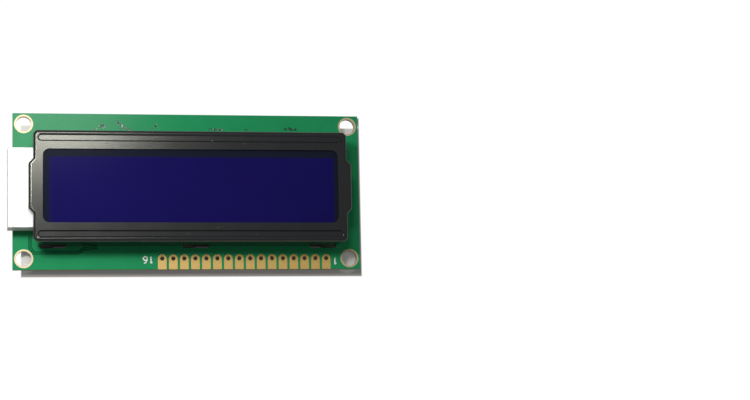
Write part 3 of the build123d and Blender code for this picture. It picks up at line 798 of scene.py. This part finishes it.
def mask_material(settings):
    """Solder mask: faint weave of the laminate under it, blotches, and the bare cut edge."""
    finish = Finish("solder_mask")
    rate = 2 * math.pi / WEAVE_PITCH
    weave = (finish.axis("X") * rate).math("SINE") * (finish.axis("Y") * rate).math("SINE")
    tone = finish.noise(6.0) * 0.5 + finish.noise(0.8) * 0.35 + weave * 0.06
    mask = finish.blend(tone, *shades(settings.mask_colour, 0.86, 1.16))
    laminate = finish.blend(finish.noise(0.3), *shades(settings.laminate_colour, 0.8, 1.0))
    flat = finish.facing().ramp(0.4, 0.6)
    return finish.surface(
        Base_Color=finish.blend(flat, laminate, mask),
        Roughness=0.6 - flat * 0.46 + finish.noise(1.2) * 0.05,
        Specular_IOR_Level=0.06,
        height=weave * 0.2 + finish.noise(0.25),
        depth=0.004,
    )


def gap_material(name, colour):
    """Solder mask over bare laminate."""
    finish = Finish(name)
    return finish.surface(
        Base_Color=finish.blend(finish.noise(0.6), *shades(colour, 0.8, 1.2)),
        Roughness=0.14 + finish.noise(1.0) * 0.06,
        Specular_IOR_Level=0.06,
    )


def via_material(settings):
    """Glossy solder mask that dips into the vias, so that some of them catch the light."""
    finish = Finish("mask_over_via")
    dips = finish.noise(0.5)
    return finish.surface(
        Base_Color=finish.blend(dips, *shades(settings.gap_colour, 0.7, 1.1)),
        Roughness=0.16 + finish.noise(0.3) * 0.06,
        Specular_IOR_Level=0.45,
        height=dips,
        depth=0.12,
    )


def foil_material(name, colour):
    """Gold over copper: brushed, with faint spots."""
    finish = Finish(name)
    scratches = finish.noise(0.5, 4.0, 0.6, (1, 0.18, 1))
    return finish.surface(
        Base_Color=finish.blend(finish.noise(0.7, 3.0), *shades(colour, 0.86, 1.05)),
        Metallic=0.25,
        Roughness=0.34 + scratches * 0.2,
        height=scratches,
        depth=0.006,
    )


def solder_material():
    """Reflowed solder: bright, a little lumpy."""
    finish = Finish("solder")
    lumps = finish.noise(0.9, 2.0)
    return finish.surface(
        Base_Color=finish.blend(lumps, linear((168, 168, 162)), linear((214, 214, 210))),
        Metallic=0.85,
        Roughness=0.2 + finish.noise(0.3, 3.0) * 0.2,
        height=lumps,
        depth=0.08,
    )


def print_material(settings):
    """White ink, slightly patchy."""
    finish = Finish("printing")
    return finish.surface(
        Base_Color=finish.blend(finish.noise(0.25, 3.0), *shades(settings.print_colour, 0.9, 1.0)),
        Roughness=0.6 + finish.noise(0.4) * 0.1,
    )


def plain_material(name, colour, roughness, size=0.6, spread=0.08, depth=0.004, **constants):
    """Moulded or cast finish: a colour with faint blotches and a fine grain."""
    finish = Finish(name)
    low = linear(colour, 1 - spread)
    high = linear(colour, 1 + spread / 2)
    grain = finish.noise(size * 0.3, 3.0)
    return finish.surface(
        Base_Color=finish.blend(finish.noise(size), low, high),
        Roughness=roughness - 0.04 + grain * 0.08,
        height=grain,
        depth=depth,
        **constants,
    )


def bezel_material(settings):
    """Stoved black paint: fine grain and a few nubs that catch the light."""
    finish = Finish("bezel_paint")
    grain = finish.noise(0.12, 3.0, 0.6)
    cloud = finish.noise(5.0, 2.0)
    nubs = finish.noise(0.9, 1.0).ramp(0.72, 0.78)
    return finish.surface(
        Base_Color=finish.blend(cloud * 0.6 + grain * 0.4, *shades(settings.paint_colour, 0.8, 1.2)),
        Roughness=settings.roughness - 0.03 + grain * 0.06 + cloud * 0.03,
        Specular_Tint=(1.0, 1.0, 0.86, 1.0),
        height=grain + nubs * 3.0,
        depth=settings.grain_depth / MM,
    )


def window_material(settings):
    """The cell seen through the polarizer: deep blue, with a painted shadow of the bezel on three sides."""
    finish = Finish("blue_polarizer")
    low, high = plan_box("front_polarizer")
    x = finish.axis("X")
    y = finish.axis("Y")
    # Share of the cell outside the painted shadow of the bezel, which darkens three of its sides
    lit = 1.0
    for reach, width, (before, after) in (
        (high.y - FILM_COVER - y, settings.shadow_top / MM, TOP_SOFTNESS),
        (x - (low.x + FILM_COVER), settings.shadow_left / MM, LEFT_SOFTNESS),
        (high.x - FILM_COVER - x, settings.shadow_right / MM, RIGHT_SOFTNESS),
    ):
        lit = reach.ramp(width - before, width + after) * lit
    tone = finish.noise(9.0, 2.0) * 0.6 + finish.noise(0.8, 2.0) * 0.4
    cell = finish.blend(tone, *shades(settings.blue_colour, 0.86, 1.14))
    return finish.surface(
        Base_Color=finish.blend(lit, (*settings.bezel_shadow_colour, 1), cell),
        Roughness=0.14 + finish.noise(2.0) * 0.03,
        Specular_IOR_Level=0.01,
        height=finish.noise(0.3, 2.0),
        depth=0.001,
    )


def glass_material(name, colour):
    """Clear glass or acrylic with a faint haze."""
    finish = Finish(name)
    haze = finish.noise(3.0)
    return finish.surface(
        Base_Color=finish.blend(haze, linear(colour, 0.94), linear(colour)),
        Roughness=0.05 + haze * 0.04,
        Transmission_Weight=1.0,
        IOR=1.5,
    )


def strip_material():
    """Elastomer strip: pink-grey silicone sides with fine black layers."""
    finish = Finish("elastomer")
    layers = (finish.axis("X") * (2 * math.pi / LAYER_PITCH)).math("SINE").ramp(-0.2, 0.2)
    return finish.surface(
        Base_Color=finish.blend(layers, linear((60, 58, 58)), linear((196, 186, 180))),
        Roughness=0.6 + finish.noise(0.5) * 0.1,
    )


# Operators

class DISPLAY_OT_board(bpy.types.Operator):
    """Give the board, its pads and rings their finishes"""
    bl_idname = "display.board"
    bl_label = "Board and pads"

    def execute(self, context):
        settings = context.scene.display_board
        paint(mask_material(settings), "circuit_board")
        gold = foil_material("gold_foil", settings.gold_colour)
        paint(gold, *[n for n in frame["nodes"] if slot_of(n) == "gold_foil"])
        paint(foil_material("pale_plate", settings.plate_colour), "mounting_rings")
        return {"FINISHED"}


class DISPLAY_OT_copper(bpy.types.Operator):
    """Show the copper, its gaps and the vias under the solder mask"""
    bl_idname = "display.copper"
    bl_label = "Copper under the mask"

    def execute(self, context):
        settings = context.scene.display_board
        gap = gap_material("mask_gap", settings.gap_colour)
        field = gap_material("mask_field", settings.field_colour)
        trace = plain_material(
            "mask_on_trace", (44, 142, 92), 0.18, 0.9, 0.1, 0.002, Specular_IOR_Level=0.06
        )
        tented = via_material(settings)
        ribbon = ribbon_tree()
        drums = via_tree()
        front, back = COPPER_LEVELS
        for name, routes, level, material, width in (
            ("mask_gaps_front", FRONT_LINES, front, gap, settings.gap_width),
            ("mask_gaps_back", BACK_GAPS, back, gap, settings.gap_width),
            ("traces_back", BACK_TRACES, back, trace, settings.trace_width),
        ):
            lines = [[(x, y, level) for x, y in route] for route in routes]
            strips = grow(line_mesh(lines), ribbon, material, Width=width, Height=COPPER_HEIGHT * MM)
            new_piece(name, strips, material)
        fields = slab_mesh(BACK_FIELDS, *FIELD_LEVELS)
        new_piece("bare_fields_back", fields, field)
        front, back = VIA_LEVELS
        for name, places, level in (("vias_front", FRONT_VIAS, front), ("vias_back", BACK_VIAS, back)):
            points = line_mesh([[(x, y, level)] for x, y in places])
            vias = grow(
                points, drums, tented, Radius=settings.via_radius, Height=VIA_HEIGHT * MM,
                Spread=settings.via_spread, Seed=settings.seed,
            )
            new_piece(name, vias, tented)
        return {"FINISHED"}


class DISPLAY_OT_printing(bpy.types.Operator):
    """Print the pad numbers, the names and the outlines of the parts"""
    bl_idname = "display.printing"
    bl_label = "Printing"

    def execute(self, context):
        settings = context.scene.display_board
        ink = print_material(settings)
        ribbon = ribbon_tree()
        front, back = PRINT_LEVELS

        def printed(lines, width):
            """Mesh of printed lines."""
            return grow(line_mesh(lines), ribbon, ink, Width=width, Height=PRINT_HEIGHT * MM)

        numbers = []
        for number, place in PAD_NUMBERS:
            numbers += letter_lines(number, settings.number_height / MM, place, front, 180)
        names = []
        for text, place, turns in LETTERS:
            names += letter_lines(text, settings.letter_height / MM, place, back, 90 * turns, True)
        lines = box_lines(back)
        rings = []
        for name, (radius, shift, sweep) in DOME_RINGS.items():
            low, high = plan_box(name)
            centre = (low + high) / 2 + Vector(shift)
            rings.append(arc_points(centre, radius, 0, 360, back, RING_SIDES))
            arc = arc_points(centre, radius + ARC_GAP, *sweep, back, ARC_SIDES)
            lines += [arc, arc_points(arc[-1], DOT_RADIUS, 0, 360, back, ARC_SIDES)]
        for centre in JUMPERS:
            lines.append(arc_points(centre, JUMPER_RADIUS, 0, 360, back, JUMPER_SIDES))
        outlines = [printed(lines, settings.print_width), printed(rings, settings.heavy_width)]
        for name, mesh in (
            ("pad_numbers", printed(numbers, settings.heavy_width)),
            ("part_names", printed(names, settings.print_width)),
            ("part_outlines", joined(outlines)),
        ):
            new_piece(name, mesh, ink)
        return {"FINISHED"}


class DISPLAY_OT_bezel(bpy.types.Operator):
    """Paint the folded bezel, shaded smooth over its bends"""
    bl_idname = "display.bezel"
    bl_label = "Bezel"

    def execute(self, context):
        stoved = bezel_material(context.scene.display_bezel)
        smooth_copy("bezel_sheet", "bezel", stoved, angle=20)
        return {"FINISHED"}


class DISPLAY_OT_window(bpy.types.Operator):
    """Colour the display cell behind the window"""
    bl_idname = "display.window"
    bl_label = "Display cell"

    def execute(self, context):
        blue = window_material(context.scene.display_window)
        paint(blue, "front_polarizer", "rear_polarizer", "liquid_crystal")
        paint(glass_material("glass", (214, 232, 230)), "front_glass", "rear_glass")
        paint(plain_material("seal_resin", (196, 186, 158), 0.4), "cell_seal", "fill_port_plug")
        paint(strip_material(), "zebra_strip_lower", "zebra_strip_upper")
        return {"FINISHED"}


class DISPLAY_OT_backlight(bpy.types.Operator):
    """Finish the white backlight and what is in it"""
    bl_idname = "display.backlight"
    bl_label = "Backlight"

    def execute(self, context):
        white = plain_material("white_plastic", (238, 238, 236), 0.42, 2.0, 0.03, 0.006)
        smooth_copy("backlight_shell", "backlight_housing", white)
        films = plain_material("white_film", (240, 240, 238), 0.6, 1.0, 0.02)
        paint(films, "reflector_sheet", "diffuser_sheet", "led_carrier", *nodes_named("led_chip"))
        paint(glass_material("acrylic", (240, 244, 246)), "light_guide")
        return {"FINISHED"}


class DISPLAY_OT_small_parts(bpy.types.Operator):
    """Finish the resin domes, the chip parts and the solder"""
    bl_idname = "display.small_parts"
    bl_label = "Small parts"

    def execute(self, context):
        solder = solder_material()
        paint(solder, "jumper_solder", "component_solder", *nodes_named("lead_solder", "backlight_lead"))
        caps = []
        for name in nodes_named("resistor_caps", "capacitor_caps"):
            caps += solid_boxes(name)
        lands = solid_boxes("component_lands")
        tinned = [land for land in lands if any(overlap(land, cap) for cap in caps)]
        mounds = mound_mesh(tinned, BOARD_LOW.z - FOIL)
        new_piece("land_solder", mounds, solder)
        resin = plain_material("black_resin", (46, 48, 48), 0.62, 0.9, 0.12, 0.03)
        for name in DOME_RINGS:
            smooth_copy(f"{name}_dome", name, resin, angle=60)
        tin = plain_material("end_cap", (186, 186, 180), 0.32, 0.4, Metallic=0.8)
        dark = plain_material("ceramic", (40, 40, 42), 0.4)
        tan = plain_material("capacitor_ceramic", (176, 148, 108), 0.5)
        for start, body in (("resistor_", dark), ("capacitor_", tan)):
            for name in nodes_named(start):
                paint(tin if "caps" in name else body, name)
        return {"FINISHED"}


def disc_lamp(name, power, place, target, size):
    """Round lamp at a place in millimetres that points at a target."""
    data = bpy.data.lights.new(name, "AREA")
    data.energy = power
    data.shape = "DISK"
    data.size = size * MM
    direction = Vector(target) - Vector(place)
    turn = direction.to_track_quat("-Z", "Y").to_matrix().to_4x4()
    placed(name, data).matrix_world = Matrix.Translation(Vector(place) * MM) @ turn
    return data


def floor_material(settings):
    """Matt floor that camera and mirror rays see white outside the board's shadow and its painted shade."""
    finish = Finish("floor")
    seen, mirrored, through = (
        finish.node("ShaderNodeLightPath", {}, {}, f"Is {kind} Ray")
        for kind in ("Camera", "Glossy", "Transmission")
    )
    seen = seen.math("MAXIMUM", mirrored * settings.mirrored_share).math("MAXIMUM", through)
    x = finish.axis("X")
    y = finish.axis("Y")
    middle = (SHADE_LOW + SHADE_HIGH) / 2
    half = (SHADE_HIGH - SHADE_LOW) / 2
    outside = ((x - middle.x).math("ABSOLUTE") - half.x).math(
        "MAXIMUM", (y - middle.y).math("ABSOLUTE") - half.y
    )
    aside = x.math("ABSOLUTE") - HOLE_PLACE.x
    above = y.math("ABSOLUTE") - HOLE_PLACE.y
    # Painted light: paler floor behind the mounting holes
    pale = (aside * aside + above * above).ramp(*PALE_SQUARES, 1.0, 0.0)
    # Painted shade: dark under the board, lighter along its edge, with the real shadow on top of it
    under = finish.blend(outside.ramp(*DEEP_EDGE), (*settings.deep_colour, 1), (*settings.shade_colour, 1))
    ground = finish.blend(pale, under, (*settings.hole_light_colour, 1))
    matt = finish.node("ShaderNodeBsdfDiffuse", {}, {"Color": ground})
    white = finish.node("ShaderNodeEmission", {}, {"Color": (1, 1, 1, 1), "Strength": WHITE_STRENGTH})
    # Least white: full behind the holes as painted light, lower in the painted deep shade under the board
    least = pale.math("MAXIMUM", outside.ramp(*DEEP_EDGE, DEEP_LIFT, 1.0)) * settings.least_lift
    # Painted light: white half of the floor behind the two far holes
    lit = pale * (y - HOLE_PLACE.y).ramp(*LIT_EDGE)
    lift = seen * least.math("MAXIMUM", outside.ramp(-SHADE_EDGE, 0.0)).math("MAXIMUM", lit)
    return finish.ended(finish.node("ShaderNodeMixShader", {}, {0: lift, 1: matt, 2: white}))


class DISPLAY_OT_stage(bpy.types.Operator):
    """Set the floor, the lamps, the world and the camera"""
    bl_idname = "display.stage"
    bl_label = "Stage"

    def execute(self, context):
        scene = context.scene
        settings = scene.display_stage

        mesh = bpy.data.meshes.new("floor")
        corners = [(-1, -1), (1, -1), (1, 1), (-1, 1)]
        points = [(x * FLOOR_REACH, y * FLOOR_REACH, cad_box[0][2]) for x, y in corners]
        mesh.from_pydata(points, [], [(0, 1, 2, 3)])
        mesh.materials.append(floor_material(settings))
        floor = placed("floor", mesh)

        key = disc_lamp("key", settings.key_power, *KEY)
        key.spread = math.radians(KEY_SPREAD)
        disc_lamp("sheen", settings.sheen_power, *SHEEN)
        world = bpy.data.worlds.new("room")
        world.use_nodes = True
        light = world.node_tree.nodes["Background"]
        light.inputs["Color"].default_value = (1, 1, 1, 1)
        light.inputs["Strength"].default_value = settings.world_level
        scene.world = world
        scene.view_settings.view_transform = "Standard"

        camera = bpy.data.cameras.new("camera")
        camera.sensor_fit = "HORIZONTAL"
        camera.lens = settings.focal / IMAGE_WIDTH * camera.sensor_width
        camera.clip_start, camera.clip_end = (reach * MM for reach in CAMERA_REACH)
        turn = Matrix.Identity(3)
        for axis, angle in CAMERA_TURNS:
            turn = turn @ Matrix.Rotation(math.radians(angle), 3, axis)
        back = turn.transposed()
        place = back @ Vector((CAMERA_ACROSS * MM, CAMERA_UP * MM, settings.distance))
        scene.camera = placed("camera", camera)
        scene.camera.matrix_world = Matrix.Translation(place) @ back.to_4x4()
        return {"FINISHED"}


class DISPLAY_PT_panel(bpy.types.Panel):
    """Steps that dress the display module"""
    bl_idname = "DISPLAY_PT_panel"
    bl_label = "Display module"
    bl_space_type = "VIEW_3D"
    bl_region_type = "UI"
    bl_category = "Display"

    def draw(self, context):
        for operator in OPERATORS:
            self.layout.operator(operator.bl_idname)
        for name in SETTINGS:
            group = getattr(context.scene, name)
            box = self.layout.box()
            for key in group.__annotations__:
                box.prop(group, key)


SETTINGS = {
    "display_board": BoardSettings,
    "display_bezel": BezelSettings,
    "display_window": WindowSettings,
    "display_stage": StageSettings,
}
OPERATORS = (
    DISPLAY_OT_board, DISPLAY_OT_copper, DISPLAY_OT_printing, DISPLAY_OT_bezel, DISPLAY_OT_window,
    DISPLAY_OT_backlight, DISPLAY_OT_small_parts, DISPLAY_OT_stage,
)


def register():
    """Add the settings, the steps and the panel."""
    for kind in (*SETTINGS.values(), *OPERATORS, DISPLAY_PT_panel):
        bpy.utils.register_class(kind)
    for name, kind in SETTINGS.items():
        setattr(bpy.types.Scene, name, PointerProperty(type=kind))


def unregister():
    """Take them out again."""
    for name in SETTINGS:
        delattr(bpy.types.Scene, name)
    for kind in reversed((*SETTINGS.values(), *OPERATORS, DISPLAY_PT_panel)):
        bpy.utils.unregister_class(kind)


def main():
    """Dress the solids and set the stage."""
    register()
    for operator in OPERATORS:
        group, name = operator.bl_idname.split(".")
        getattr(getattr(bpy.ops, group), name)()


if __name__ == "__main__":
    main()
